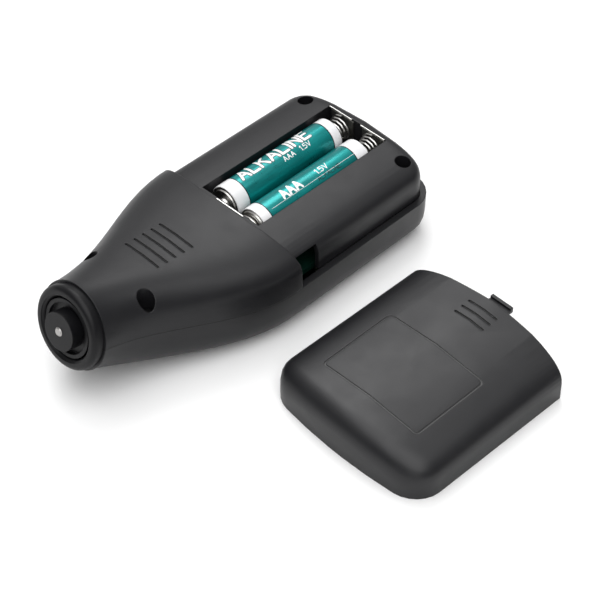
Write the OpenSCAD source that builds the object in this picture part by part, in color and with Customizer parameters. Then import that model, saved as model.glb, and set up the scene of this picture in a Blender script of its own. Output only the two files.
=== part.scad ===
// Coating thickness gauge, lying on its front face with the battery cover taken off.
// X runs along the gauge with the probe at -X, Z is up and z = 0 is the table.

/* [Housing] */
// Width of the housing
body_w = 55.6; // [54:0.2:62]
// Length of the wide body, from the shoulder to the tail
body_len = 59.4; // [58:0.2:70]
// Height of the front half, from the table to the parting plane
parting_z = 14.2; // [13.8:0.1:17]
// Rise of the back above the parting plane at the shoulder
shoulder_rise = 14.7; // [14.2:0.1:17]
// Rise of the back above the parting plane at the tail
tail_rise = 12.8; // [12.8:0.1:14]
// Extra fall of the back from its middle to its sides at the shoulder
shoulder_crown = 4; // [2:0.1:4]
// Extra fall of the back from its middle to its sides at the tail
tail_crown = 2.8; // [1:0.1:3]
// Corner radius of the tail in plan
tail_corner_r = 8; // [7:0.5:10]
// Edge radius of the tail, seen from the side
tail_edge_r = 5.5; // [3:0.1:6]
// Depth of the tail's bow in plan
tail_bow = 2.4; // [1:0.1:3]
// Wall of the two housing halves
shell_t = 2; // [1.6:0.1:2.4]

/* [Neck] */
// Length of the neck along X, from the shoulder to the nose
neck_len = 53; // [50:0.5:64]
// Radius of the neck at the nose
neck_r = 12.6; // [12.2:0.1:13]
// Upward tilt of the nose
nose_tilt = 14; // [10:0.5:16]
// Length of the straight tube at the nose
nose_tube = 1.5; // [1.2:0.1:2.5]
// Number of grip grooves on the neck
neck_grooves = 5; // [3:1:6]
// Pitch of the grip grooves on the neck
neck_groove_pitch = 3.05; // [2:0.05:3.4]
// Length of the grip grooves on the neck
neck_groove_len = 13.3; // [8:0.1:15]
// Distance of the first neck groove from the shoulder
neck_groove_start = 17.7; // [17:0.1:20]
// Width of every groove
groove_w = 0.8; // [0.5:0.1:1.2]
// Depth of every groove
groove_depth = 0.6; // [0.3:0.1:0.8]

/* [Tray] */
// Width of the ledge round the tray, where the cover sits
ledge_w = 2.1; // [2:0.1:2.5]
// Height of the tray's top above the parting plane at the shoulder
tray_rise = 11.5; // [11:0.1:11.6]
// Height of the tray's top above the parting plane at the tail
tray_tail_rise = 11; // [10.5:0.1:11]
// Wall of the tray
tray_t = 1.5; // [1.2:0.1:1.8]
// Depth of the seam's bow in plan
seam_bow = 2.5; // [1.5:0.1:3]
// Wall across the housing at the seam
bulkhead_t = 1.4; // [1:0.1:1.6]
// Length of the window in each side wall of the tray
side_window = 7.8; // [6:0.2:9]

/* [Battery compartment] */
// Radius of a cell
cell_r = 5.25; // [5:0.05:5.3]
// Length of a cell without its nub
cell_len = 42.6; // [42:0.1:44]
// Length of a cell's nub
nub_len = 0.8; // [0.5:0.1:1]
// Radius of a cell's nub
nub_r = 1.9; // [1.5:0.1:2.2]
// Distance between the axes of the two cells
cell_pitch = 12.2; // [12:0.1:13]
// Height of the cells' axes above the parting plane
cell_rise = 6.6; // [6.4:0.1:7.2]
// Room for the contacts at the probe end of the cells
contact_room = 3; // [2.6:0.1:3.4]
// Room for the springs at the tail end of the cells
spring_room = 5.3; // [4.8:0.1:5.4]
// Distance of the compartment from the shoulder
bay_start = 3.1; // [2.8:0.1:3.6]
// Room beside each cell
bay_side = 0.3; // [0.2:0.05:0.5]
// Sideways shift of the compartment from the gauge's axis
bay_shift = 0.4; // [0:0.1:0.8]
// Lip on one side of the compartment, which holds the cells in
bay_lip = 1; // [0.6:0.1:1.2]
// Wall of the compartment
bay_t = 1.2; // [1:0.1:1.5]
// Thickness of the contact plates
plate_t = 0.4; // [0.3:0.05:0.5]
// Diameter of the contact springs' wire
wire_d = 0.6; // [0.4:0.05:0.7]

/* [Battery cover] */
// Wall of the cover
cover_t = 1.2; // [1:0.1:1.2]
// Distance between the gauge's axis and the cover's axis
cover_offset = 67.8; // [66:0.1:90]
// Distance of the cover's open end from the gauge's origin
cover_open_x = 21.9; // [10:0.1:40]
// Turn of the cover about the vertical, as it lies
cover_turn = -1.6; // [-4:0.1:4]
// Width of the latch tab
tab_w = 7.4; // [6:0.1:9]
// Length of the latch tab
tab_len = 4.4; // [3:0.1:5]
// Number of grip grooves on the cover
cover_grooves = 3; // [2:1:4]
// Pitch of the grip grooves on the cover
cover_groove_pitch = 2.7; // [2:0.1:3]
// Length of the grip grooves on the cover
cover_groove_len = 10.4; // [8:0.1:14]
// Distance of the first cover groove from the open end
cover_groove_start = 4; // [3.5:0.1:6]
// Length of the outlined panel along X
panel_len = 25.6; // [20:0.2:28]
// Width of the outlined panel
panel_w = 34.6; // [28:0.2:36]
// Distance of the panel's middle from the open end
panel_start = 34.7; // [33:0.1:36]

/* [Probe] */
// Outer radius of the collar round the probe
ring_r = 11.9; // [11.6:0.1:12.5]
// Length of the collar
ring_len = 3.2; // [3:0.1:4]
// Radius of the collar's bore
ring_bore_r = 9.5; // [9.4:0.1:9.7]
// Radius of the floating sleeve
sleeve_r = 8.4; // [8:0.1:8.4]
// Wall of the floating sleeve
sleeve_t = 1.1; // [0.8:0.1:1.4]
// Radius of the probe's boss
boss_r = 5.5; // [5:0.1:6]
// Radius of the metal tip
tip_r = 1.3; // [1:0.05:1.5]
// How far the tip stands out of the boss
tip_out = 0.3; // [0.1:0.05:0.5]
// How far the boss stands out of the collar
boss_out = 2; // [1.6:0.1:2.4]
// Travel of the probe into the nose
probe_travel = 1.5; // [1:0.1:2]

/* [Screws] */
// Radius of the screw wells
well_r = 2.35; // [2.2:0.05:2.5]
// Wall of the screw wells
well_t = 1.2; // [1:0.1:1.3]
// Radius of the screws
screw_r = 1.05; // [0.9:0.05:1.2]
// Distance of the tail screws from the tail
tail_screw_inset = 8.1; // [7.8:0.1:10]
// Distance of the tail screws from the gauge's axis
tail_screw_y = 19.4; // [18.8:0.1:19.6]
// Distance of the neck screws from the nose
neck_screw_inset = 14.2; // [14:0.1:16]
// Distance of the neck screws from the gauge's axis
neck_screw_y = 11.25; // [10.8:0.05:11.3]

/* [Front] */
// Distance of the display lens from the shoulder
lens_start = 20.2; // [19.5:0.1:24]
// Distance of the display lens from the sides of the housing
lens_side = 8.8; // [8.5:0.1:12]
// Thickness of the display lens
lens_t = 1.1; // [0.8:0.1:1.2]
// Radius of a key
key_r = 4.1; // [3.5:0.1:4.5]
// Distance between two keys
key_pitch = 12; // [11.8:0.1:12.4]
// Travel of a key
key_travel = 0.8; // [0.5:0.1:1]
// Thickness of the circuit board
board_t = 1.6; // [1:0.1:1.6]

/* [Hidden] */
$fn = 64;
eps = 0.01;
// Longer than anything a cut has to pass through
far = 200;

// Clearances
seat_gap = 0.1;
slide_gap = 0.1;
seam_gap = 0.25;

// Main places along X
shoulder_x = -12.8;
tail_x = shoulder_x + body_len;
nose_x = shoulder_x - neck_len;
nose_rise = neck_len*tan(nose_tilt)/2;
nose_z = parting_z + nose_rise;

// Shape of the loft: how square the sections are, and how finely they are drawn
top_power = 6.5;
bottom_power = 4.5;
flat_cut = 0.6;
half_steps = 24;
neck_steps = 12;
tail_steps = 6;

seam_r = (pow(body_w/2, 2) + pow(seam_bow, 2))/(2*seam_bow);
tray_w = body_w - 2*ledge_w;
tray_power = 6.5;
tray_crown = 1;
tray_edge_r = 2.5;
tray_root = 0.7;
window_h = 8.6;

// Battery compartment
bay_x0 = shoulder_x + bay_start;
bay_len = contact_room + cell_len + spring_room;
bay_x1 = bay_x0 + bay_len;
bay_w = cell_pitch + 2*cell_r + 2*bay_side;
cell_z = parting_z + cell_rise;
bay_floor = cell_z - cell_r - seat_gap;
cell_shift = 0.8;
cell_x = [bay_x0 + contact_room, bay_x0 + contact_room - cell_shift];
cell_y = [bay_shift + cell_pitch/2, bay_shift - cell_pitch/2];
plate_w = 2*(cell_r + bay_side - bay_lip - 2*seat_gap);
dimple_r = 2.4;
plate_gap = 0.05;
bay_lip_t = 1.6;
dimple_h = contact_room - nub_len - plate_t - 2*plate_gap;
plate_h = tray_rise - 1.2 - (bay_floor - parting_z);
low_plate_h = cell_r + 1;
rib_t = 1;
rib_h = 1.4;
spring_r = [3.9, 2.4];
short_spring_r = [4.1, 2.9];
spring_turns = 4;
short_spring_turns = 2;

// Cover as it lies beside the gauge
seam_mid = shoulder_x + seam_gap;
tab_t = 1;
tab_lip = 0.8;
tab_root = 3;
tab_gap = 0.3;
lug_t = 1.6;
lug_h = 4;
tab_drop = 0.5;
tab_top = parting_z + shoulder_rise - shell_t - tab_lip - tab_gap - tab_drop;
panel_line = 0.5;
panel_corner_r = 1.5;

// Probe, measured along its axis from the end of the neck
ring_back = nose_tube;
ring_front = ring_back + ring_len;
ring_edge_r = 1.6;
spigot_len = 3.5;
spigot_r = ring_bore_r + 0.6;
guide_front = ring_back - spigot_len - seat_gap;
guide_t = 0.8;
guide_r = sleeve_r + slide_gap + guide_t;
guide_len = 8.9;
guide_back = guide_front - guide_len;
guide_wall = 1.5;
guide_hole_r = 3;
boss_face = ring_front + boss_out;
cup_rim_back = 2.7;
cup_floor_back = 4;
cup_rim = boss_face - cup_rim_back;
cup_floor = boss_face - cup_floor_back;
cup_floor_t = 1.2;
spring_min = 3.2;
sleeve_back = guide_back + guide_wall + spring_min + probe_travel;
probe_wire_d = 0.8;
probe_spring_r = sleeve_r - 1.2;
probe_spring_turns = 3;
stem_r = 3.4;
coil_gap = 0.15;

// Screws
seat_rise = 2;
well_web = 2*well_r;
head_r = well_r - 0.25;
head_h = 1.6;
tail_screw_x = tail_x - tail_screw_inset;
neck_screw_x = nose_x + neck_screw_inset;
screw_reach = 6;
boss_wall_r = well_r + well_t - 0.3;
cross_len = 2.4;
cross_w = 0.5;
cross_depth = 0.8;
neck_seat_rise = seat_rise + 0.6;

// Board and front pieces
board_top = parting_z - 0.2;
board_bottom = board_top - board_t;
board_side = 2.8;
board_tail = 7;
board_front = 10;
board_w = body_w - 2*shell_t - 2*board_side;
board_x0 = shoulder_x - board_front;
board_x1 = tail_x - board_tail;
board_gap = 0.5;
board_neck_x = tail_screw_x - well_r - well_t - board_gap;
board_tail_w = 2*(tail_screw_y - well_r - well_t - board_gap);
post_r = 1.4;
post_x = 7;
post_inset = 2.5;
post_tail_inset = 4.5;
front_posts = [
    [shoulder_x + post_x, board_w/2 - post_inset],
    [board_x1 - post_r - board_gap, board_tail_w/2 - post_tail_inset]
];
module_margin = 1.5;
module_gap = 0.4;
lens_x0 = shoulder_x + lens_start;
lens_x1 = tail_screw_x - boss_wall_r - module_margin - module_gap;
lens_len = lens_x1 - lens_x0;
lens_w = body_w - 2*lens_side;
lens_corner_r = 2;
lens_recess = 0.25;
lens_lip = 2;
module_t = 2.8;
module_z = shell_t + seat_gap;
frame_t = 1.5;
chip_start = 6;
chip_side = 8;
chip_h = 1.4;
buzzer_gap = 0.9;
buzzer_h = 6;
key_start = 4;
key_x = shoulder_x - key_start;
key_z = 0.5;
key_flange = 1;
key_flange_r = key_r + 1.1;
key_gap = 0.3;
key_stem_r = 2.4;
dome_h = 1;
dome_r = 3.2;
mat_edge = 1.5;
mat_t = 1.5;
dome_z = board_bottom - mat_t - dome_h;

shell_black = "#2c2c2e";
probe_black = "#1b1b1c";
metal = "#c9cacc";

function mix(a, b, t) = a + (b - a)*t;
function smooth(t) = t*t*(3 - 2*t);
function signed_pow(v, p) = sign(v)*pow(abs(v), p);
// How far a corner of radius r pulls in at a distance d from the end
function pulled(r, d) = d >= r ? 0 : r - sqrt(r*r - pow(r - d, 2));

// A station of the loft is
// [x, z, tilt, half width, rise, drop, crown, top power, bottom power, bow]
function nose_station(s, inset) = [
    nose_x - s*cos(nose_tilt), nose_z + s*sin(nose_tilt), nose_tilt,
    neck_r - inset, neck_r - inset, neck_r - inset, 0, 2, 2, 0
];
function neck_station(t, inset) = [
    shoulder_x - t*neck_len, parting_z + nose_rise*t*t, atan(2*nose_rise*t/neck_len),
    mix(body_w/2, neck_r, smooth(t)) - inset,
    mix(shoulder_rise, neck_r, pow(t, 1.4)) - inset,
    mix(parting_z + flat_cut, neck_r, pow(t, 3)) - inset,
    mix(shoulder_crown, 0, t),
    mix(top_power, 2, pow(t, 0.7)), mix(bottom_power, 2, t*t), 0
];
function body_station(d, inset, shrink = 1) = let(
    x = tail_x - inset - d,
    t = (x - shoulder_x)/body_len,
    edge = pulled(tail_edge_r - inset, d)
) [
    x, parting_z, 0,
    shrink*(body_w/2 - inset - pulled(tail_corner_r - inset, d)),
    shrink*(mix(shoulder_rise, tail_rise, t) - inset - edge),
    shrink*(parting_z + flat_cut - inset - edge),
    shrink*mix(shoulder_crown, tail_crown, t), top_power, bottom_power, tail_bow*t*t
];
function tray_station(d, inset, shrink = 1) = let(
    back = ledge_w + inset,
    x = tail_x - back - d,
    t = (x - shoulder_x)/body_len,
    edge = pulled(tray_edge_r, d)
) [
    x, parting_z, 0,
    shrink*(tray_w/2 - inset - pulled(tail_corner_r - back, d)),
    shrink*(mix(tray_rise, tray_tail_rise, t) - inset - edge),
    1, shrink*tray_crown, tray_power, 2, tail_bow*t*t
];

// Distances from the tail at which its rounded end is drawn
function tail_distances(r) = [for (i = [tail_steps : -1 : 0]) r*(1 - cos(90*i/tail_steps))];
tail_shrinks = [0.55, 0.12];

function nose_stations(inset, reach) = [nose_station(reach, inset)];
function neck_stations(inset) = [for (i = [0 : neck_steps]) neck_station(1 - i/neck_steps, inset)];
function body_stations(inset, start) = concat(
    [for (k = [0, 0.35, 0.7])
        body_station(mix(tail_x - inset - start, tail_corner_r - inset, k), inset)],
    [for (d = tail_distances(tail_corner_r - inset)) body_station(d, inset)],
    [for (k = tail_shrinks) body_station(0, inset, k)]
);
function tray_stations(inset, start) = let(r = tail_corner_r - ledge_w - inset) concat(
    [for (k = [0, 0.5]) tray_station(mix(tail_x - ledge_w - inset - start, r, k), inset)],
    [for (d = tail_distances(r)) tray_station(d, inset)],
    [for (k = tail_shrinks) tray_station(0, inset, k)]
);

// One point of a section, u across and v above the spine
function loft_point(s, u, v) = let(y = s[3]*u) [
    s[0] + v*sin(s[2]) - s[9]*pow(2*y/body_w, 2),
    y,
    s[1] + v*cos(s[2])
];
// Half of a section, above the spine (side = 1) or below it (side = -1); an open half drops past the spine
function half_section(s, side, open) = let(
    n = side > 0 ? s[7] : s[8],
    h = side > 0 ? s[4] : s[5],
    crown = side > 0 ? s[6] : 0
) [
    for (i = [0 : half_steps]) let(
        a = 180*i/half_steps,
        u = signed_pow(cos(a), 2/n),
        v = (i == 0 || i == half_steps) ? -open : (h - crown*u*u)*pow(sin(a), 2/n)
    ) loft_point(s, u, side*v)
];

module half_loft(stations, side, open = 0) {
    n = half_steps + 1;
    last = len(stations) - 1;
    points = [for (s = stations) each half_section(s, side, open)];
    walls = [for (i = [0 : last - 1]) for (j = [0 : n - 1]) let(
        a = i*n + j, b = i*n + (j + 1) % n
    ) each [[a, b, b + n], [a, b + n, a + n]]];
    caps = [[for (j = [n - 1 : -1 : 0]) j], [for (j = [0 : n - 1]) last*n + j]];
    faces = concat(walls, caps);
    turned = [for (f = faces) [for (k = [len(f) - 1 : -1 : 0]) f[k]]];
    polyhedron(points, side > 0 ? turned : faces, convexity = 6);
}

// Upper half of the neck, lower half of the whole housing, upper half of the body, and the tray
module neck_half(inset, reach, open = 0) {
    stations = concat(nose_stations(inset, reach), neck_stations(inset),
        [body_station(body_len - inset - seam_bow - 2, inset)]);
    half_loft(stations, 1, open);
}
module front_half(inset, reach, open = 0) {
    stations = concat(nose_stations(inset, reach), neck_stations(inset),
        body_stations(inset, shoulder_x + 2));
    half_loft(stations, -1, open);
}
module cover_half(inset, open = 0) {
    half_loft(body_stations(inset, shoulder_x - 1), 1, open);
}
module tray_half(inset, open = 0) {
    half_loft(tray_stations(inset, shoulder_x - tray_root - inset), 1, open);
}

// Everything on the tail side of the bowed seam, grown by g
module tail_side(g = 0) {
    translate([shoulder_x + seam_r, 0, -1])
        cylinder(r = seam_r + g, h = far, $fn = 180);
}
module rounded_slot(len, w, h) {
    translate([-w/2, -len/2 + w/2, 0]) cube([w, len - w, h]);
    for (y = [-1, 1]) translate([0, y*(len - w)/2, 0]) cylinder(d = w, h = h, $fn = 24);
}
module rounded_plate(l, w, h, r) {
    translate([-l/2 + r, -w/2, 0]) cube([l - 2*r, w, h]);
    translate([-l/2, -w/2 + r, 0]) cube([l, w - 2*r, h]);
    for (x = [-1, 1], y = [-1, 1])
        translate([x*(l/2 - r), y*(w/2 - r), 0]) cylinder(r = r, h = h, $fn = 32);
}
module both_sides() {
    children();
    mirror([0, 1, 0]) children();
}
// Places children on the probe's axis, +Z pointing out of the nose
module on_probe_axis() {
    translate([nose_x, 0, nose_z]) rotate([0, nose_tilt - 90, 0]) children();
}
module tube(r_out, r_in, z0, z1) {
    translate([0, 0, z0]) difference() {
        cylinder(r = r_out, h = z1 - z0);
        translate([0, 0, -1]) cylinder(r = r_in, h = z1 - z0 + 2);
    }
}

// Wire wound along Z from radius r0 to r1
module coil(r0, r1, h, turns, d) {
    sides = 6;
    per_turn = 12;
    rings = round(turns*per_turn);
    points = [for (i = [0 : rings]) let(
        a = 360*i/per_turn, k = i/rings, r = mix(r0, r1, k)
    ) for (j = [0 : sides - 1]) let(b = 360*j/sides)
        [(r + d/2*cos(b))*cos(a), (r + d/2*cos(b))*sin(a), d/2 + k*(h - d) + d/2*sin(b)]];
    walls = [for (i = [0 : rings - 1]) for (j = [0 : sides - 1]) let(
        a = i*sides + j, b = i*sides + (j + 1) % sides
    ) each [[a, b, b + sides], [a, b + sides, a + sides]]];
    caps = [[for (j = [sides - 1 : -1 : 0]) j], [for (j = [0 : sides - 1]) rings*sides + j]];
    faces = concat(walls, caps);
    polyhedron(points, faces, convexity = 10);
}

// Places of the four housing screws, with the height of the seat under each head
neck_seat_z = parting_z + neck_seat_rise + nose_rise*pow((shoulder_x - neck_screw_x)/neck_len, 2);
screw_places = [
    [tail_screw_x, tail_screw_y, parting_z + seat_rise],
    [neck_screw_x, neck_screw_y, neck_seat_z]
];
module at_screws() {
    for (p = screw_places) both_sides() translate([p[0], p[1], 0]) children();
}

// Room in the rounded sides of the front half for the display module
module display_pocket() {
    l = lens_len + 2*module_margin + module_gap;
    w = lens_w + 2*module_margin + module_gap;
    translate([(lens_x0 + lens_x1)/2 - l/2, -w/2, shell_t - 1])
        cube([l, w, module_t + 2]);
}
module front_shell() {
    color(shell_black) difference() {
        union() {
            difference() {
                front_half(0, nose_tube);
                intersection() {
                    union() {
                        front_half(shell_t, nose_tube + 1, 1);
                        display_pocket();
                    }
                    translate([-far, -far, shell_t]) cube([2*far, 2*far, far]);
                }
            }
            intersection() {
                front_half(0.5, nose_tube);
                union() {
                    at_screws() translate([0, 0, -1])
                        cylinder(r = boss_wall_r, h = far);
                    for (p = front_posts) both_sides()
                        translate([p[0], p[1], 0]) cylinder(r = post_r, h = board_bottom);
                }
            }
        }
        translate([-far, -far, -far]) cube([2*far, 2*far, far]);
        for (p = screw_places) both_sides()
            translate([p[0], p[1], p[2] - seat_rise - screw_reach - 1])
                cylinder(r = screw_r + 0.02, h = far);
        on_probe_axis() translate([0, 0, ring_back - spigot_len - 0.1])
            cylinder(r = spigot_r + 0.05, h = spigot_len + 2);
        translate([(lens_x0 + lens_x1)/2, 0, -1])
            rounded_plate(lens_len + 2*seat_gap, lens_w + 2*seat_gap, 1 + lens_recess + lens_t + 0.05,
                lens_corner_r + seat_gap);
        translate([(lens_x0 + lens_x1)/2, 0, -1])
            rounded_plate(lens_len - 2*lens_lip, lens_w - 2*lens_lip, far, lens_corner_r/2);
        for (k = [-1, 0, 1]) translate([key_x, k*key_pitch, -1]) cylinder(r = key_r + 2*slide_gap, h = far);
    }
}

// Boxes and wells that stand inside the tray
module bay_outside() {
    translate([bay_x0 - bay_t, bay_shift - bay_w/2 - bay_t, parting_z])
        cube([bay_len + 2*bay_t, bay_w + 2*bay_t, tray_rise]);
}
module bay_inside() {
    translate([bay_x0, bay_shift - bay_w/2, bay_floor])
        cube([bay_len, bay_w, parting_z + tray_rise - bay_lip_t - bay_floor]);
    translate([bay_x0, bay_shift - bay_w/2 + bay_lip, bay_floor])
        cube([bay_len, bay_w - bay_lip, far]);
}
module back_shell() {
    color(shell_black) difference() {
        union() {
            difference() {
                neck_half(0, nose_tube);
                difference() {
                    neck_half(shell_t, nose_tube + 1, 1);
                    tail_side(bulkhead_t);
                }
                tail_side();
                intersection() {
                    difference() {
                        translate([0, 0, shell_t]) neck_half(0, nose_tube);
                        neck_half(groove_depth, nose_tube);
                    }
                    for (i = [0 : neck_grooves - 1])
                        translate([shoulder_x - neck_groove_start - i*neck_groove_pitch, 0, parting_z])
                            rounded_slot(neck_groove_len, groove_w, far);
                }
            }
            difference() {
                union() {
                    difference() {
                        tray_half(0);
                        tray_half(tray_t, 1);
                    }
                    intersection() {
                        tray_half(0.4);
                        union() {
                            bay_outside();
                            both_sides() translate([tail_screw_x, tail_screw_y, parting_z]) {
                                cylinder(r = well_r + well_t, h = tray_rise);
                                translate([0, -well_web/2, 0])
                                    cube([tail_screw_inset, well_web, tray_rise]);
                            }
                        }
                    }
                }
                bay_inside();
                both_sides() translate([bay_x0, tray_w/2 - 2*tray_t, parting_z - 1])
                    cube([side_window, 4*tray_t, window_h + 1]);
            }
            intersection() {
                neck_half(0.5, nose_tube);
                both_sides() translate([neck_screw_x, neck_screw_y, 0])
                    cylinder(r = boss_wall_r, h = far);
            }
            translate([bay_x0 + contact_room, bay_shift - rib_t/2, bay_floor - eps])
                cube([cell_len, rib_t, rib_h]);
        }
        for (p = screw_places) both_sides() {
            translate([p[0], p[1], p[2]]) cylinder(r = well_r, h = far);
            translate([p[0], p[1], p[2] - far/2]) cylinder(r = screw_r + 0.2, h = far);
        }
        on_probe_axis() translate([0, 0, ring_back - spigot_len - 0.1])
            cylinder(r = spigot_r + 0.05, h = spigot_len + 2);
        translate([shoulder_x - tab_len - tab_gap, -tab_w/2 - tab_gap, tab_top - tab_t - tab_gap])
            cube([tab_len + 2*tab_gap, tab_w + 2*tab_gap, tab_t + tab_lip + tab_gap]);
    }
}

// Cover in its closed place on the tray
module closed_cover() {
    difference() {
        intersection() {
            difference() {
                cover_half(0);
                cover_half(cover_t, 1);
            }
            tail_side(-seam_gap);
        }
        intersection() {
            difference() {
                translate([0, 0, cover_t]) cover_half(0);
                cover_half(groove_depth);
            }
            for (i = [0 : cover_grooves - 1])
                translate([seam_mid + cover_groove_start + i*cover_groove_pitch, 0, parting_z])
                    rounded_slot(cover_groove_len, groove_w, far);
        }
        intersection() {
            difference() {
                translate([0, 0, cover_t]) cover_half(0);
                cover_half(groove_depth/2);
            }
            translate([seam_mid + panel_start, 0, parting_z]) difference() {
                rounded_plate(panel_len, panel_w, far, panel_corner_r);
                translate([0, 0, -1])
                    rounded_plate(panel_len - 2*panel_line, panel_w - 2*panel_line, 2*far,
                        panel_corner_r - panel_line);
            }
        }
    }
    translate([seam_mid - tab_len, -tab_w/2, tab_top - tab_t])
        cube([tab_len + tab_root + tab_t, tab_w, tab_t]);
    translate([seam_mid - tab_len, -tab_w/2, tab_top - tab_t])
        cube([tab_t, tab_w, tab_t + tab_lip]);
    translate([seam_mid + tab_t, -tab_w/2, tab_top - tab_t])
        cube([tab_root, tab_w, tab_t + tab_lip + tab_drop + shell_t - cover_t + tab_gap + 0.4]);
    both_sides() translate([bay_x0 + 1, body_w/2 - cover_t - lug_t + 0.4, parting_z + 2])
        cube([side_window - 2, lug_t, lug_h]);
}
module battery_cover() {
    color(shell_black) translate([cover_open_x + seam_mid, -cover_offset, -parting_z])
        rotate([0, 0, 180 + cover_turn]) closed_cover();
}

module nose_ring() {
    straight = ring_len - ring_edge_r;
    wall = ring_r - ring_bore_r;
    color(probe_black) on_probe_axis() rotate_extrude() {
        translate([ring_bore_r, ring_back]) square([wall - ring_edge_r, ring_len]);
        translate([ring_bore_r, ring_back]) square([wall, straight]);
        translate([ring_r - ring_edge_r, ring_front - ring_edge_r]) circle(r = ring_edge_r, $fn = 48);
        translate([ring_bore_r, ring_back - spigot_len]) square([spigot_r - ring_bore_r, spigot_len + 1]);
    }
}
module probe_guide() {
    color("#3a3a3c") on_probe_axis() {
        tube(guide_r, sleeve_r + slide_gap, guide_back + guide_wall, guide_front);
        tube(guide_r, guide_hole_r, guide_back, guide_back + guide_wall);
    }
}
module probe_sleeve() {
    color(probe_black) on_probe_axis() {
        tube(sleeve_r, sleeve_r - sleeve_t, sleeve_back, cup_rim);
        tube(sleeve_r - sleeve_t + 0.2, stem_r + 0.05, cup_floor - cup_floor_t, cup_floor);
    }
}
module probe_boss() {
    color(probe_black) on_probe_axis() {
        tube(boss_r, tip_r + 0.02, cup_floor, boss_face);
        tube(stem_r, tip_r + 0.02, sleeve_back, cup_floor + eps);
    }
}
module probe_tip() {
    color(metal) on_probe_axis() translate([0, 0, sleeve_back]) {
        cylinder(r = tip_r, h = boss_face - sleeve_back);
        translate([0, 0, boss_face - sleeve_back]) cylinder(r1 = tip_r, r2 = tip_r - tip_out, h = tip_out);
    }
}
module probe_coil() {
    color("#b4662e") on_probe_axis()
        tube(sleeve_r - sleeve_t - coil_gap, stem_r + coil_gap, sleeve_back,
            cup_floor - cup_floor_t - coil_gap);
}
module probe_spring() {
    seat = guide_back + guide_wall;
    color(metal) on_probe_axis() translate([0, 0, seat + seat_gap])
        coil(probe_spring_r, probe_spring_r, sleeve_back - seat - 2*seat_gap, probe_spring_turns,
            probe_wire_d);
}

module main_board() {
    color("#1f6b3a") translate([0, 0, board_bottom]) linear_extrude(board_t) polygon([
        [board_x0, -board_w/2], [board_neck_x, -board_w/2], [board_neck_x, -board_tail_w/2],
        [board_x1, -board_tail_w/2], [board_x1, board_tail_w/2], [board_neck_x, board_tail_w/2],
        [board_neck_x, board_w/2], [board_x0, board_w/2]
    ]);
}
module processor_chip() {
    color("#202022") translate([shoulder_x + chip_start, -chip_side/2, board_bottom - chip_h])
        cube([chip_side, chip_side, chip_h]);
}
module buzzer() {
    side_0 = bay_shift + bay_w/2 + bay_t;
    side_1 = tray_w/2 - tray_t;
    color("#222224") translate([bay_x0 + bay_len/2, (side_0 + side_1)/2, board_top])
        cylinder(r = (side_1 - side_0)/2 - buzzer_gap, h = buzzer_h);
}
module display_module() {
    color("#8f9a86") translate([lens_x0 - module_margin, -lens_w/2 - module_margin, module_z])
        cube([lens_len + 2*module_margin, lens_w + 2*module_margin, module_t]);
}
module display_frame() {
    l = lens_len + 2*module_margin;
    w = lens_w + 2*module_margin;
    color("#e4e4df") translate([lens_x0 - module_margin, -w/2, module_z + module_t]) difference() {
        cube([l, w, board_bottom - module_z - module_t]);
        translate([frame_t, frame_t, -1]) cube([l - 2*frame_t, w - 2*frame_t, far]);
    }
}
module display_lens() {
    color("#9aa3a0") translate([(lens_x0 + lens_x1)/2, 0, lens_recess])
        rounded_plate(lens_len, lens_w, lens_t, lens_corner_r);
}
module keypad_mat() {
    l = 2*(key_r + mat_edge);
    color("#55565a") {
        translate([key_x - l/2, -key_pitch - l/2, board_bottom - mat_t])
            cube([l, 2*key_pitch + l, mat_t]);
        for (k = [-1, 0, 1]) translate([key_x, k*key_pitch, dome_z]) cylinder(r = dome_r, h = dome_h + eps);
    }
}
module key(k) {
    flange_z = shell_t + seat_gap;
    color("#6e7074") translate([key_x, k*key_pitch, 0]) {
        translate([0, 0, key_z]) cylinder(r = key_r, h = flange_z - key_z + eps);
        translate([0, 0, flange_z]) cylinder(r = key_flange_r, h = key_flange);
        translate([0, 0, flange_z]) cylinder(r = key_stem_r, h = dome_z - flange_z - key_travel - key_gap);
    }
}
module key_left() { key(1); }
module key_middle() { key(0); }
module key_right() { key(-1); }

// One cell along +X with its nub at the far end
module cell() {
    edge = 0.5;
    rotate([0, 90, 0]) {
        cylinder(r = cell_r - edge, h = cell_len);
        translate([0, 0, edge]) cylinder(r = cell_r, h = cell_len - 2*edge);
        translate([0, 0, cell_len - eps]) cylinder(r = nub_r, h = nub_len + eps);
    }
}
module battery_1() {
    color("teal") translate([cell_x[0] + cell_len, cell_y[0], cell_z]) rotate([0, 0, 180]) cell();
}
module battery_2() {
    color("teal") translate([cell_x[1], cell_y[1], cell_z]) cell();
}
module joined_contact() {
    reach = dimple_r + 0.4;
    color(metal) translate([bay_x0 + plate_gap, 0, 0]) {
        translate([0, cell_y[1] - plate_w/2, bay_floor + seat_gap])
            cube([plate_t, cell_pitch + plate_w/2 + reach, low_plate_h]);
        translate([0, cell_y[1] + short_spring_r[0], bay_floor + seat_gap])
            cube([plate_t, cell_pitch - short_spring_r[0] + reach, plate_h]);
        translate([plate_t - eps, cell_y[0], cell_z]) rotate([0, 90, 0])
            cylinder(r1 = dimple_r, r2 = dimple_r/2, h = dimple_h);
    }
}
module contact_plate(y) {
    color(metal) translate([bay_x1 - plate_gap - plate_t, y - plate_w/2, bay_floor + seat_gap])
        cube([plate_t, plate_w, plate_h]);
}
module contact_plate_1() { contact_plate(cell_y[0]); }
module contact_plate_2() { contact_plate(cell_y[1]); }
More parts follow.
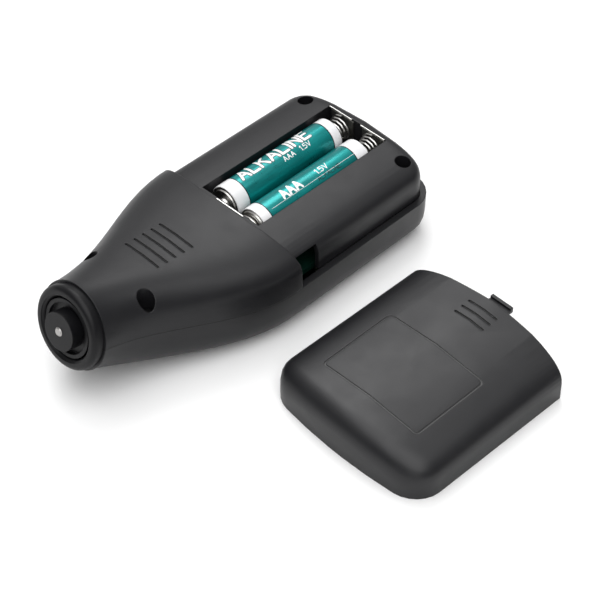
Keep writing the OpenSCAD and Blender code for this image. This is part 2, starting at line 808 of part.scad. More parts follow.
// Conical spring from a contact plate to the end of its cell
module battery_spring(y, end_x) {
    plate_x = bay_x1 - plate_gap - plate_t;
    color(metal) translate([plate_x - plate_gap, y, cell_z]) rotate([0, -90, 0])
        coil(spring_r[0], spring_r[1], plate_x - end_x - 2*plate_gap, spring_turns, wire_d);
}
module battery_spring_1() { battery_spring(cell_y[0], cell_x[0] + cell_len); }
module battery_spring_2() { battery_spring(cell_y[1], cell_x[1] + cell_len + nub_len); }
module battery_spring_3() {
    plate_x = bay_x0 + plate_gap + plate_t;
    color(metal) translate([plate_x + plate_gap, cell_y[1], cell_z]) rotate([0, 90, 0])
        coil(short_spring_r[0], short_spring_r[1], cell_x[1] - plate_x - 2*plate_gap,
            short_spring_turns, wire_d);
}

module housing_screws() {
    color("#3a3a3c") for (p = screw_places) both_sides() translate([p[0], p[1], p[2]]) {
        difference() {
            cylinder(r = head_r, h = head_h);
            for (a = [0, 90]) rotate([0, 0, a])
                translate([-cross_len/2, -cross_w/2, head_h - cross_depth]) cube([cross_len, cross_w, far]);
        }
        translate([0, 0, -seat_rise - screw_reach])
            cylinder(r = screw_r, h = seat_rise + screw_reach + eps);
    }
}

front_shell();
back_shell();
battery_cover();
nose_ring();
probe_guide();
probe_sleeve();
probe_boss();
probe_tip();
probe_coil();
probe_spring();
main_board();
processor_chip();
buzzer();
display_module();
display_frame();
display_lens();
keypad_mat();
key_left();
key_middle();
key_right();
battery_1();
battery_2();
joined_contact();
contact_plate_1();
contact_plate_2();
battery_spring_1();
battery_spring_2();
battery_spring_3();
housing_screws();
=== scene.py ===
"""Looks of a coating thickness gauge that lies on its front face, with its battery cover off."""
import math

import bmesh
import bpy
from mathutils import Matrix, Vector

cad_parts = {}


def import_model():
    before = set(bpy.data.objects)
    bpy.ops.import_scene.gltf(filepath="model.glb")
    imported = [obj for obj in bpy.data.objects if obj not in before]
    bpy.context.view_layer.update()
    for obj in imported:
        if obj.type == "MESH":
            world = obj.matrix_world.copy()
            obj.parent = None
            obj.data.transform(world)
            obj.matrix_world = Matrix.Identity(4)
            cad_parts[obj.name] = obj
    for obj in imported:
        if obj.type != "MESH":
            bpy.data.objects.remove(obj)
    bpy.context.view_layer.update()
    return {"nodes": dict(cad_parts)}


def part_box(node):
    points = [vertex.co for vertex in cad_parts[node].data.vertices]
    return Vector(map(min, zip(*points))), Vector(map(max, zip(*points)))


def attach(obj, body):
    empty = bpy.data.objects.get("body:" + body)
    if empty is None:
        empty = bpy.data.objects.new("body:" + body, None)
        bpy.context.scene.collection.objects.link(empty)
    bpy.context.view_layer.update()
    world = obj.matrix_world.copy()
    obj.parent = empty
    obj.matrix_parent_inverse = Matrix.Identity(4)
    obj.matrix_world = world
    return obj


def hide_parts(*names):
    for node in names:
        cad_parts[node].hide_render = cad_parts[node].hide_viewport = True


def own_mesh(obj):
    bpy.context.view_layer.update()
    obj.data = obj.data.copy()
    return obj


MM = 0.001

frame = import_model()
nodes = frame["nodes"]


# Shader helpers

NOISE_ROUGHNESS = 0.55
# Most of a noise lies between these two values
NOISE_LOW = 0.3
NOISE_HIGH = 0.7
EDGE_SAMPLES = 6


def new_material(name):
    """An empty node material, with its node tree and its Principled shader."""
    material = bpy.data.materials.new(name)
    material.use_nodes = True
    tree = material.node_tree
    return material, tree, tree.nodes["Principled BSDF"]


def grey(tone):
    """A neutral colour for a socket."""
    return (tone, tone, tone, 1.0)


def lighter(colour, factor):
    """A colour times a factor, no brighter than white."""
    return tuple(min(1.0, c * factor) for c in colour)


def add(tree, kind, **values):
    """A new node; values are its properties."""
    node = tree.nodes.new(kind)
    for key, value in values.items():
        setattr(node, key, value)
    return node


def place(tree):
    """Object coordinates, which are the frame's own metres."""
    return add(tree, "ShaderNodeTexCoord").outputs["Object"]


def axes(tree, vector):
    """The outputs X, Y and Z of a vector."""
    split = add(tree, "ShaderNodeSeparateXYZ")
    tree.links.new(vector, split.inputs[0])
    return split.outputs


def noise(tree, scale, detail=3.0):
    """A noise value with that many cells to the metre."""
    node = add(tree, "ShaderNodeTexNoise")
    node.inputs["Scale"].default_value = scale
    node.inputs["Detail"].default_value = detail
    node.inputs["Roughness"].default_value = NOISE_ROUGHNESS
    tree.links.new(place(tree), node.inputs["Vector"])
    return node.outputs["Fac"]


def stretch(tree, texture, scale):
    """Scales the coordinates that a texture already reads, by a factor for each axis."""
    link = texture.inputs["Vector"].links[0]
    mapping = add(tree, "ShaderNodeMapping")
    mapping.inputs["Scale"].default_value = scale
    tree.links.new(link.from_socket, mapping.inputs["Vector"])
    tree.links.new(mapping.outputs["Vector"], texture.inputs["Vector"])


def ramp(tree, value, stops):
    """A colour ramp over value; stops are (position, colour)."""
    node = add(tree, "ShaderNodeValToRGB")
    elements = node.color_ramp.elements
    while len(elements) < len(stops):
        elements.new(0.5)
    for element, (position, colour) in zip(elements, stops):
        element.position = position
        element.color = (*colour, 1.0)
    tree.links.new(value, node.inputs["Fac"])
    return node.outputs["Color"]


def mottle(tree, shader, scale, first, second):
    """A base colour that wanders between two colours."""
    stops = [(NOISE_LOW, first), (NOISE_HIGH, second)]
    tree.links.new(ramp(tree, noise(tree, scale), stops), shader.inputs["Base Color"])


def uneven_roughness(tree, shader, scale, low, high, detail=3.0):
    """A roughness that wanders between two values."""
    node = add(tree, "ShaderNodeMapRange")
    node.inputs["From Min"].default_value = NOISE_LOW
    node.inputs["From Max"].default_value = NOISE_HIGH
    node.inputs["To Min"].default_value = low
    node.inputs["To Max"].default_value = high
    tree.links.new(noise(tree, scale, detail), node.inputs["Value"])
    tree.links.new(node.outputs["Result"], shader.inputs["Roughness"])


def bump(tree, shader, height, distance, edge=0.0):
    """Bump of that height, in metres, on the shader's normal, over edges broken by a small radius."""
    node = add(tree, "ShaderNodeBump")
    node.inputs["Distance"].default_value = distance
    tree.links.new(height, node.inputs["Height"])
    if edge > 0:
        round_edge = add(tree, "ShaderNodeBevel", samples=EDGE_SAMPLES)
        round_edge.inputs["Radius"].default_value = edge
        tree.links.new(round_edge.outputs["Normal"], node.inputs["Normal"])
    tree.links.new(node.outputs["Normal"], shader.inputs["Normal"])


def calculate(tree, operation, first, second=0.0):
    """A math node; each input is a socket or a number."""
    node = add(tree, "ShaderNodeMath", operation=operation)
    for socket, value in zip(node.inputs, (first, second)):
        if isinstance(value, float):
            socket.default_value = value
        else:
            tree.links.new(value, socket)
    return node.outputs[0]


def within(tree, value, middle, half):
    """One where a value is no further than half from the middle, and nought elsewhere."""
    found = calculate(tree, "COMPARE", value, middle)
    found.node.inputs[2].default_value = half
    return found


# Masks for painted light and shade on the lines of the mouldings

# The parting line: level along the body, then rising along the neck to the nose
PARTING_Z = 14.2 * MM
SHOULDER_X = -12.8 * MM
NECK_LENGTH = 53.0 * MM
NOSE_RISE = 6.6 * MM
SEAM_HALF_WIDTH = 0.16 * MM

# The line round the cover's panel: where its middle lies, how it is turned, and its half sizes
PANEL_MIDDLE = (-12.79 * MM, -67.19 * MM, 0.0)
PANEL_TURN = math.radians(-1.6)
PANEL_HALF = (12.55 * MM, 17.05 * MM)
PANEL_CORNER = 1.25 * MM
PANEL_HALF_LINE = 0.27 * MM

# Rows of grip grooves along X: where the first lies, the pitch, how many, and their length
NECK_ROW = (-30.5 * MM, -3.05 * MM, 5, 13.0 * MM)
COVER_ROW = (30.7 * MM, -2.7 * MM, 3, 10.1 * MM)
# The tail-side wall of a groove, from the groove's middle
GROOVE_WALL = 0.38 * MM
GROOVE_WALL_HALF = 0.08 * MM


# The parting line is a real seam; its near-black tone is painted shade of the hairline gap between the
# shells.
def seam_painted_shade_mask(tree):
    """One on the neck's parting line, where painted shade of the gap between the shells goes, and nought
    elsewhere.
    """
    at = axes(tree, place(tree))
    from_shoulder = calculate(tree, "SUBTRACT", SHOULDER_X, at["X"])
    share = calculate(tree, "DIVIDE", from_shoulder, NECK_LENGTH)
    rise = calculate(tree, "MULTIPLY", calculate(tree, "POWER", share, 2.0), NOSE_RISE)
    above = calculate(tree, "SUBTRACT", at["Z"], calculate(tree, "ADD", rise, PARTING_Z))
    near = within(tree, above, 0.0, SEAM_HALF_WIDTH)
    on_neck = calculate(tree, "GREATER_THAN", from_shoulder, 0.0)
    return calculate(tree, "MULTIPLY", near, on_neck)


def on_panel(tree):
    """The axes of a place, measured from the middle of the cover's panel and turned with it."""
    local = add(tree, "ShaderNodeMapping", vector_type="TEXTURE")
    local.inputs["Location"].default_value = PANEL_MIDDLE
    local.inputs["Rotation"].default_value = (0.0, 0.0, PANEL_TURN)
    tree.links.new(place(tree), local.inputs["Vector"])
    return axes(tree, local.outputs["Vector"])


# Painted light: the panel line gets a tone lighter than the housing, lifting the shade in its groove.
def panel_line_painted_light_mask(tree):
    """One in the line round the cover's panel, where painted light lifts the groove's shade, and nought
    elsewhere.
    """
    at = on_panel(tree)
    past = []
    for axis, half in zip("XY", PANEL_HALF):
        distance = calculate(tree, "ABSOLUTE", at[axis])
        past.append(calculate(tree, "SUBTRACT", distance, half - PANEL_CORNER))
    outside = [calculate(tree, "POWER", calculate(tree, "MAXIMUM", p, 0.0), 2.0) for p in past]
    corner = calculate(tree, "SQRT", calculate(tree, "ADD", *outside))
    inside = calculate(tree, "MINIMUM", calculate(tree, "MAXIMUM", *past), 0.0)
    return within(tree, calculate(tree, "ADD", corner, inside), PANEL_CORNER, PANEL_HALF_LINE)


# Painted highlight: a lighter tone on one wall of each grip groove stands in for its lit edge.
def groove_wall_painted_highlight(tree, at, first, pitch, count, length):
    """One on the tail-side wall of each groove in a row along X, where a lighter tone is painted as
    painted highlight, and nought elsewhere.
    """
    found = 0.0
    for i in range(count):
        wall = within(tree, at["X"], first + i * pitch + GROOVE_WALL, GROOVE_WALL_HALF)
        found = calculate(tree, "ADD", found, wall)
    across = calculate(tree, "ABSOLUTE", at["Y"])
    return calculate(tree, "MULTIPLY", found, calculate(tree, "LESS_THAN", across, length / 2))


def neck_groove_painted_highlight(tree):
    """The walls of the neck's grooves that get a painted highlight."""
    return groove_wall_painted_highlight(tree, axes(tree, place(tree)), *NECK_ROW)


def cover_groove_painted_highlight(tree):
    """The walls of the cover's grooves that get a painted highlight."""
    return groove_wall_painted_highlight(tree, on_panel(tree), *COVER_ROW)


# Materials

EDGE_RADIUS = 0.3 * MM


def moulded_plastic(name, dark, light, rough, depth=0.012 * MM, gloss=0.5, painted_light_lines=()):
    """Satin moulded plastic with a fine eroded grain and faint clouding; each line is (mask, tone), a
    tone painted over the mask as painted light or painted shade.
    """
    material, tree, shader = new_material(name)
    cloud = noise(tree, scale=45.0, detail=4.0)
    colour = ramp(tree, cloud, [(0.35, dark), (NOISE_HIGH, light)])
    for mask, tone in painted_light_lines:
        shaded = add(tree, "ShaderNodeMix", data_type="RGBA")
        tree.links.new(mask(tree), shaded.inputs["Factor"])
        tree.links.new(colour, shaded.inputs["A"])
        shaded.inputs["B"].default_value = grey(tone)
        colour = shaded.outputs["Result"]
    tree.links.new(colour, shader.inputs["Base Color"])
    uneven_roughness(tree, shader, scale=160.0, low=rough - 0.03, high=rough + 0.04, detail=4.0)
    shader.inputs["Specular IOR Level"].default_value = gloss
    bump(tree, shader, noise(tree, scale=5200.0, detail=2.0), depth, EDGE_RADIUS)
    return material


def plated_metal(name, colour, rough):
    """Plated steel with faint clouding of the plating."""
    material, tree, shader = new_material(name)
    shader.inputs["Metallic"].default_value = 1.0
    mottle(tree, shader, 300.0, colour, lighter(colour, 1.15))
    uneven_roughness(tree, shader, scale=500.0, low=rough - 0.04, high=rough + 0.06)
    return material


def rubber(name, colour):
    """Matte silicone rubber."""
    material, tree, shader = new_material(name)
    mottle(tree, shader, 300.0, colour, lighter(colour, 1.25))
    uneven_roughness(tree, shader, scale=800.0, low=0.68, high=0.82)
    bump(tree, shader, noise(tree, scale=4000.0), 0.01 * MM)
    return material


def circuit_board_in_painted_shade(name):
    """Green solder mask, darkened almost to black as painted shade inside the housing, with the joints
    between its fields a little lighter.
    """
    material, tree, shader = new_material(name)
    bricks = add(tree, "ShaderNodeTexBrick")
    bricks.inputs["Scale"].default_value = 420.0
    bricks.inputs["Mortar Size"].default_value = 0.03
    # Painted shade: these colours are far darker than a lit solder mask, for the shade inside the
    # housing.
    bricks.inputs["Color1"].default_value = (0.002, 0.016, 0.011, 1.0)
    bricks.inputs["Color2"].default_value = (0.0025, 0.02, 0.013, 1.0)
    bricks.inputs["Mortar"].default_value = (0.004, 0.03, 0.02, 1.0)
    tree.links.new(place(tree), bricks.inputs["Vector"])
    tree.links.new(bricks.outputs["Color"], shader.inputs["Base Color"])
    uneven_roughness(tree, shader, scale=500.0, low=0.28, high=0.4)
    return material


def wound_wire(name):
    """Enamelled copper winding: fine turns along X, close to the probe's axis."""
    material, tree, shader = new_material(name)
    shader.inputs["Metallic"].default_value = 1.0
    mottle(tree, shader, 700.0, (0.5, 0.2, 0.08), (0.7, 0.32, 0.14))
    shader.inputs["Roughness"].default_value = 0.35
    turns = add(tree, "ShaderNodeTexWave", wave_type="BANDS", bands_direction="X")
    turns.inputs["Scale"].default_value = 900.0
    tree.links.new(place(tree), turns.inputs["Vector"])
    bump(tree, shader, turns.outputs["Fac"], 0.05 * MM)
    return material


def clear_lens(name):
    """Clear acrylic window with fine surface haze."""
    material, tree, shader = new_material(name)
    shader.inputs["Base Color"].default_value = (0.75, 0.79, 0.78, 1.0)
    shader.inputs["Transmission Weight"].default_value = 0.9
    shader.inputs["IOR"].default_value = 1.49
    uneven_roughness(tree, shader, scale=250.0, low=0.04, high=0.1)
    return material


def display_glass(name):
    """Grey-green liquid crystal glass."""
    material, tree, shader = new_material(name)
    mottle(tree, shader, 60.0, (0.27, 0.31, 0.24), (0.31, 0.35, 0.28))
    uneven_roughness(tree, shader, scale=200.0, low=0.12, high=0.2)
    return material


HOUSING_DARK = (0.0095, 0.0095, 0.011)
HOUSING_LIGHT = (0.012, 0.012, 0.0135)

# The line tones are painted light and shade: the panel line and groove walls are lighter than the
# housing as painted highlight, and the parting line is near black as painted shade of the gap between
# the shells.
black = moulded_plastic("black_plastic", HOUSING_DARK, HOUSING_LIGHT, 0.38, gloss=0.42,
                        painted_light_lines=[(panel_line_painted_light_mask, 0.075), (cover_groove_painted_highlight, 0.06)])
shell_black = moulded_plastic("shell_plastic", HOUSING_DARK, HOUSING_LIGHT, 0.38, gloss=0.34,
                              painted_light_lines=[(seam_painted_shade_mask, 0.0), (neck_groove_painted_highlight, 0.06)])
collar_black = moulded_plastic("collar_plastic", (0.005, 0.005, 0.006), (0.007, 0.007, 0.008), 0.4,
                               depth=0.006 * MM, gloss=0.22)
chip_black = moulded_plastic("chip_plastic", (0.02, 0.02, 0.021), (0.026, 0.026, 0.027), 0.5)
frame_white = moulded_plastic("frame_plastic", (0.66, 0.66, 0.63), (0.72, 0.72, 0.69), 0.5)
steel = plated_metal("plated_steel", (0.62, 0.61, 0.59), 0.3)
tip_steel = plated_metal("ground_steel", (0.4, 0.39, 0.38), 0.34)
# Painted shade: a dark copy of the contacts' plated steel for the plates' faces, which lie in the shade
# of the cell bay.
contact_face_painted_shade_steel = plated_metal("plated_steel_painted_shade", (0.16, 0.16, 0.15), 0.46)
# Painted highlight: a lighter copy of the contacts' steel for their top edges.
contact_edge_painted_highlight_steel = plated_metal("plated_steel_painted_highlight", (0.7, 0.69, 0.67), 0.3)
screw_black = plated_metal("black_oxide_steel", (0.03, 0.03, 0.032), 0.42)
copper = wound_wire("copper_winding")
board = circuit_board_in_painted_shade("solder_mask_painted_shade")
key_grey = rubber("key_rubber", (0.14, 0.14, 0.15))
lens = clear_lens("clear_acrylic")
display = display_glass("display_glass")

NODE_MATERIALS = {
    shell_black: ["front_shell", "back_shell"],
    black: ["battery_cover"],
    collar_black: ["nose_ring", "probe_guide", "probe_sleeve", "probe_boss"],
    chip_black: ["processor_chip", "buzzer"],
    frame_white: ["display_frame"],
    tip_steel: ["probe_tip"],
    steel: ["battery_spring_1", "battery_spring_2", "battery_spring_3"],
    contact_face_painted_shade_steel: ["joined_contact", "contact_plate_1", "contact_plate_2"],
    screw_black: ["housing_screws"],
    copper: ["probe_coil"],
    board: ["main_board"],
    key_grey: ["keypad_mat", "key_left", "key_middle", "key_right"],
    lens: ["display_lens"],
    display: ["display_module"],
}


# Pieces, and smooth shading that keeps the edges past a limit sharp

SMOOTH_LIMIT = 32
WELD_REACH = 0.002 * MM


def smoothing_group(degrees):
    """Geometry nodes that shade faces smooth and edges sharp past the given angle."""
    group = bpy.data.node_groups.new(f"smooth_{degrees}", "GeometryNodeTree")
    group.interface.new_socket("Geometry", in_out="INPUT", socket_type="NodeSocketGeometry")
    group.interface.new_socket("Geometry", in_out="OUTPUT", socket_type="NodeSocketGeometry")
    start = group.nodes.new("NodeGroupInput")
    end = group.nodes.new("NodeGroupOutput")
    faces = group.nodes.new("GeometryNodeSetShadeSmooth")
    faces.domain = "FACE"
    edges = group.nodes.new("GeometryNodeSetShadeSmooth")
    edges.domain = "EDGE"
    angle = group.nodes.new("GeometryNodeInputMeshEdgeAngle")
    limit = group.nodes.new("FunctionNodeCompare")
    limit.operation = "LESS_THAN"
    limit.inputs["B"].default_value = math.radians(degrees)
    group.links.new(start.outputs[0], faces.inputs["Geometry"])
    group.links.new(faces.outputs[0], edges.inputs["Geometry"])
    group.links.new(angle.outputs["Unsigned Angle"], limit.inputs["A"])
    group.links.new(limit.outputs[0], edges.inputs["Shade Smooth"])
    group.links.new(edges.outputs[0], end.inputs[0])
    return group


soft_edges = smoothing_group(SMOOTH_LIMIT)


def shade_smooth(obj):
    """Shades a piece smooth between its sharp edges."""
    smooth = obj.modifiers.new("smooth", "NODES")
    smooth.node_group = soft_edges


def dress(obj, material):
    """Gives a piece its material and smooth shading."""
    obj.data.materials.clear()
    obj.data.materials.append(material)
    weld = obj.modifiers.new("weld", "WELD")
    weld.merge_threshold = WELD_REACH
    shade_smooth(obj)


def put(name, data):
    """A new object in the scene."""
    obj = bpy.data.objects.new(name, data)
    bpy.context.scene.collection.objects.link(obj)
    return obj


def mesh_from(bm, name):
    """A mesh with the faces that were drawn, which are then let go."""
    mesh = bpy.data.meshes.new(name)
    bm.to_mesh(mesh)
    bm.free()
    return mesh


for material, names in NODE_MATERIALS.items():
    for name in names:
        dress(nodes[name], material)


# The probe's spring, copied in the place of its CAD node; the real spring shortens towards its seat as
# the probe slides in, which this copy does not


def probe_spring():
    """A copy of the spring's coil in the place of its CAD node."""
    cad = nodes["probe_spring"]
    obj = put("shortening_spring", cad.data.copy())
    obj.matrix_world = cad.matrix_world
    dress(obj, steel)
    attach(obj, "gauge")
    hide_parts("probe_spring")
    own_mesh(obj)


probe_spring()


# Cells: lathe-turned, with a printed sleeve and generic lettering

CELL_SEGMENTS = 96
NUB = 0.8 * MM
NUB_BAND = 4.9 * MM
FLAT_BAND = 3.7 * MM
PRINTED_LINE = 0.3 * MM
FOIL_METAL = 0.6

# The outline in millimetres. The ends are (distance along, radius), and the rolled edges of the
# sleeve are (distance along, drop below the sleeve). FLAT parts are measured from the flat end,
# NUB_ROLL and SHOULDER from where the nub starts, and NUB_END from its tip.
FLAT_END = [(0.25, 2.6), (0.0, 2.9), (0.0, 3.9), (0.12, 4.35), (0.45, 4.6)]
FLAT_ROLL = [(0.5, 0.18), (0.62, 0.04), (0.9, 0.0)]
NUB_ROLL = [(-0.9, 0.0), (-0.62, 0.04), (-0.5, 0.2)]
SHOULDER = [(-0.45, 4.3), (-0.1, 4.1), (-0.35, 3.6), (-0.35, 2.3), (-0.1, 1.95)]
NUB_END = [(-0.3, 1.85), (-0.08, 1.72), (0.0, 1.45)]

# Strokes of each letter on a grid, with the letter's width
GLYPH_HEIGHT = 6
GLYPH_GAP = 1.5
GLYPHS = {
    "A": (4.0, [[(0, 0), (2, 6), (4, 0)], [(0.8, 2), (3.2, 2)]]),
    "L": (3.4, [[(0, 6), (0, 0), (3.4, 0)]]),
    "K": (3.9, [[(0, 0), (0, 6)], [(3.7, 6), (0, 2.6)], [(1.3, 3.7), (3.9, 0)]]),
    "I": (0.2, [[(0.1, 0), (0.1, 6)]]),
    "N": (3.8, [[(0, 0), (0, 6), (3.8, 0), (3.8, 6)]]),
    "E": (3.3, [[(3.3, 6), (0, 6), (0, 0), (3.3, 0)], [(0, 3), (2.8, 3)]]),
    "V": (4.0, [[(0, 6), (2, 0), (4, 6)]]),
    "1": (1.4, [[(0, 4.6), (1.4, 6), (1.4, 0)]]),
    "5": (3.6, [[(3.4, 6), (0.2, 6), (0, 3.4), (2.2, 3.7), (3.6, 2.7), (3.6, 1.1), (2.3, 0), (0, 0.3)]]),
    ".": (0.4, [[(0.1, 0), (0.3, 0)]]),
    " ": (2.2, []),
    "_": (28.0, [[(0, 0), (28, 0)]]),
}
STROKE_STEP = 0.5 * MM
DOT_SIDES = 12
DOT_LIFT = 0.004 * MM

# A cell's materials, by their place on its mesh
SLEEVE = 0
METAL = 1
WHITE_INK = 2
DARK_INK = 3


def print_ink(name, colour):
    """Printing ink on the sleeve."""
    material, tree, shader = new_material(name)
    mottle(tree, shader, 400.0, colour, lighter(colour, 1.1))
    uneven_roughness(tree, shader, scale=500.0, low=0.26, high=0.36)
    return material


def cell_material(name, x_low, x_high, low_band, high_band):
    """Printed foil: teal with a white band at each end, along X between two ends."""
    material, tree, shader = new_material(name)
    length = x_high - x_low
    along = add(tree, "ShaderNodeMapRange")
    along.inputs["From Min"].default_value = x_low
    along.inputs["From Max"].default_value = x_high
    tree.links.new(axes(tree, place(tree))["X"], along.inputs["Value"])
    white = (0.8, 0.8, 0.81)
    teal = (0.0035, 0.31, 0.305)
    deep = (0.001, 0.03, 0.03)
    none = (0.0, 0.0, 0.0)
    full = (1.0, 1.0, 1.0)
    streak = (0.5, 0.56, 0.56)
    low = low_band / length
    high = 1 - high_band / length
    line = PRINTED_LINE / length
    bands = ramp(tree, along.outputs["Result"], [
        (0.0, white), (low, deep), (low + line, teal), (0.5, teal), (high - line, deep), (high, white)])
    bands.node.color_ramp.interpolation = "CONSTANT"
    between = ramp(tree, along.outputs["Result"], [
        (0.0, none), (low, full), (0.5, full), (high, none)])
    between.node.color_ramp.interpolation = "CONSTANT"
    foil = add(tree, "ShaderNodeMix", data_type="RGBA", blend_type="MULTIPLY")
    tree.links.new(between, foil.inputs["Factor"])
    tree.links.new(bands, foil.inputs["A"])
    streaks = noise(tree, scale=420.0)
    stretch(tree, streaks.node, (0.16, 1.0, 1.0))
    tree.links.new(ramp(tree, streaks, [(0.28, streak), (0.68, full)]), foil.inputs["B"])
    tree.links.new(foil.outputs["Result"], shader.inputs["Base Color"])
    tree.links.new(calculate(tree, "MULTIPLY", between, FOIL_METAL), shader.inputs["Metallic"])
    uneven_roughness(tree, shader, scale=500.0, low=0.26, high=0.34)
    shader.inputs["Coat Weight"].default_value = 0.2
    shader.inputs["Coat Roughness"].default_value = 0.15
    return material


class Sleeve:
    """The curved side of a cell: flat places along and around it become points in the frame."""

    def __init__(self, x, y, z, radius):
        self.x = x
        self.y = y
        self.z = z
        self.radius = radius

    def point(self, along, around, lift):
        """A point at a distance along X and a distance around from +Y, lifted off the sleeve."""
        turn = -around / self.radius
        r = self.radius + lift
        return (self.x + along, self.y + r * math.cos(turn), self.z + r * math.sin(turn))


def ribbon(bm, sleeve, start, end, half_width, lift, ink):
    """A flat stroke from start to end, both (along, around) in metres on the sleeve."""
    direction = Vector((end[0] - start[0], end[1] - start[1]))
    length = direction.length
    direction.normalize()
    side = Vector((-direction.y, direction.x)) * half_width
    pieces = max(2, math.ceil(length / STROKE_STEP))
    rows = []
    for i in range(pieces + 1):
        centre = Vector(start).lerp(Vector(end), i / pieces)
        row = []
        for spot in (centre - side, centre + side):
            row.append(bm.verts.new(sleeve.point(spot.x, spot.y, lift)))
        rows.append(row)
    for low, high in zip(rows, rows[1:]):
        face = bm.faces.new((low[0], low[1], high[1], high[0]))
        face.material_index = ink
        face.smooth = True


def dot(bm, sleeve, centre, radius, lift, ink):
    """A round end of a stroke."""
    ring = []
    for i in range(DOT_SIDES):
        a = 2 * math.pi * i / DOT_SIDES
        along = centre[0] + radius * math.cos(a)
        around = centre[1] + radius * math.sin(a)
        ring.append(bm.verts.new(sleeve.point(along, around, lift)))
    face = bm.faces.new(ring)
    face.material_index = ink
    face.smooth = True


def lettering(bm, sleeve, text, along, turn, height, widen, half_width, ink, lift):
    """Letters that read along +X, with their feet at an angle from +Y."""
    unit = height / GLYPH_HEIGHT
    foot = -turn * sleeve.radius
    x = along
    for letter in text:
        width, strokes = GLYPHS[letter]
        for stroke in strokes:
            spots = [(x + u * unit * widen, foot + v * unit) for u, v in stroke]
            for start, end in zip(spots, spots[1:]):
                ribbon(bm, sleeve, start, end, half_width, lift, ink)
            for spot in spots:
                dot(bm, sleeve, spot, half_width, lift + DOT_LIFT, ink)
        x += (width + GLYPH_GAP) * unit * widen


def cell_profile(body, radius):
    """A cell's outline from its flat end to the tip of its nub, as (distance along, radius)."""
    profile = [(x * MM, r * MM) for x, r in FLAT_END]
    profile += [(x * MM, radius - drop * MM) for x, drop in FLAT_ROLL]
    profile += [(body + x * MM, radius - drop * MM) for x, drop in NUB_ROLL]
    profile += [(body + x * MM, r * MM) for x, r in SHOULDER]
    profile += [(body + NUB + x * MM, r * MM) for x, r in NUB_END]
    return profile


def lathe_faces(bm, profile, origin, axis_sign):
    """A cell turned about X, with the printed sleeve between its two rolled edges."""
    sleeve_start = len(FLAT_END)
    sleeve_end = sleeve_start + len(FLAT_ROLL) + len(NUB_ROLL) - 1
    x, y, z = origin
    loops = []
    for along, radius in profile:
        loop = []
        for i in range(CELL_SEGMENTS):
            a = 2 * math.pi * i / CELL_SEGMENTS
            spot = (x + axis_sign * along, y + radius * math.cos(a), z + radius * math.sin(a))
            loop.append(bm.verts.new(spot))
        loops.append(loop)
    for k, (low, high) in enumerate(zip(loops, loops[1:])):
        for i in range(CELL_SEGMENTS):
            j = (i + 1) % CELL_SEGMENTS
            face = bm.faces.new((low[i], low[j], high[j], high[i]))
            face.material_index = SLEEVE if sleeve_start <= k < sleeve_end else METAL
            face.smooth = True
    for loop in (loops[0], loops[-1]):
        face = bm.faces.new(loop)
        face.material_index = METAL
    bmesh.ops.recalc_face_normals(bm, faces=bm.faces)


white_ink = print_ink("white_ink", (0.8, 0.8, 0.8))
dark_ink = print_ink("dark_ink", (0.004, 0.03, 0.03))


def cell(number, nub_sign, words):
    """A printed cell in the place of its CAD node; nub_sign is the side of its nub along X."""
    low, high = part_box(f"battery_{number}")
    radius = (high.z - low.z) / 2
    y = (low.y + high.y) / 2
    z = (low.z + high.z) / 2
    body = (high.x - low.x) - NUB
    flat_end = low.x if nub_sign > 0 else high.x
    bands = (FLAT_BAND, NUB_BAND + NUB) if nub_sign > 0 else (NUB_BAND + NUB, FLAT_BAND)
    foil = cell_material(f"cell_foil_{number}", low.x, high.x, *bands)
    bm = bmesh.new()
    lathe_faces(bm, cell_profile(body, radius), (flat_end, y, z), nub_sign)
    sleeve = Sleeve(low.x, y, z, radius)
    for text, along, degrees, height, widen, stroke, ink, lift in words:
        lettering(bm, sleeve, text, along * MM, math.radians(degrees), height * MM, widen,
                  stroke * MM, ink, lift * MM)
    mesh = mesh_from(bm, f"cell_{number}")
    for material in (foil, steel, white_ink, dark_ink):
        mesh.materials.append(material)
    obj = put(f"cell_{number}", mesh)
    shade_smooth(obj)
    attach(obj, "gauge")
    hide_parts(f"battery_{number}")


# Each line is text, distance along, angle of its feet, height, widening, half stroke, ink and lift
cell(1, -1, [
    ("ALKALINE", 7.6, 98.0, 3.9, 1.12, 0.62, DARK_INK, 0.015),
    ("ALKALINE", 7.6, 98.0, 3.9, 1.12, 0.4, WHITE_INK, 0.03),
    ("AAA  1.5V", 22.0, 124.0, 1.5, 1.1, 0.13, WHITE_INK, 0.015),
])
cell(2, 1, [
    ("_", 5.2, 117.0, 6.0, 1.16, 0.05, WHITE_INK, 0.012),
    ("AAA", 10.5, 112.0, 3.0, 0.95, 0.34, WHITE_INK, 0.015),
    ("1.5V", 24.0, 106.0, 1.7, 1.1, 0.15, WHITE_INK, 0.015),
    ("ALKALINE", 23.0, 128.0, 1.3, 1.1, 0.1, DARK_INK, 0.015),
])


# Top edges of the battery contacts, between two corners in millimetres: strips in a lighter copy of the
# contacts' steel, as painted highlight

EDGE_BREAK = 0.06 * MM
CONTACT_EDGES = {
    "tail_edge_1": ((40.85, 3.0, 24.6), (41.15, 11.9, 25.2)),
    "tail_edge_2": ((40.85, -9.9, 24.6), (41.15, -0.5, 25.2)),
    "probe_end_edge": ((-10.45, -4.8, 25.45), (-10.1, 5.7, 25.74)),
}


def contact_edge(name, low, high):
    """A thin strip of metal between two corners, in the lighter copy of the contacts' steel that is
    painted highlight.
    """
    bm = bmesh.new()
    bmesh.ops.create_cube(bm, size=1.0)
    for vertex in bm.verts:
        for axis in range(3):
            middle = (low[axis] + high[axis]) / 2
            vertex.co[axis] = (middle + vertex.co[axis] * (high[axis] - low[axis])) * MM
    mesh = mesh_from(bm, name)
    mesh.materials.append(contact_edge_painted_highlight_steel)
    obj = put(name, mesh)
    soften = obj.modifiers.new("soften", "BEVEL")
    soften.width = EDGE_BREAK
    soften.segments = 2
    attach(obj, "gauge")


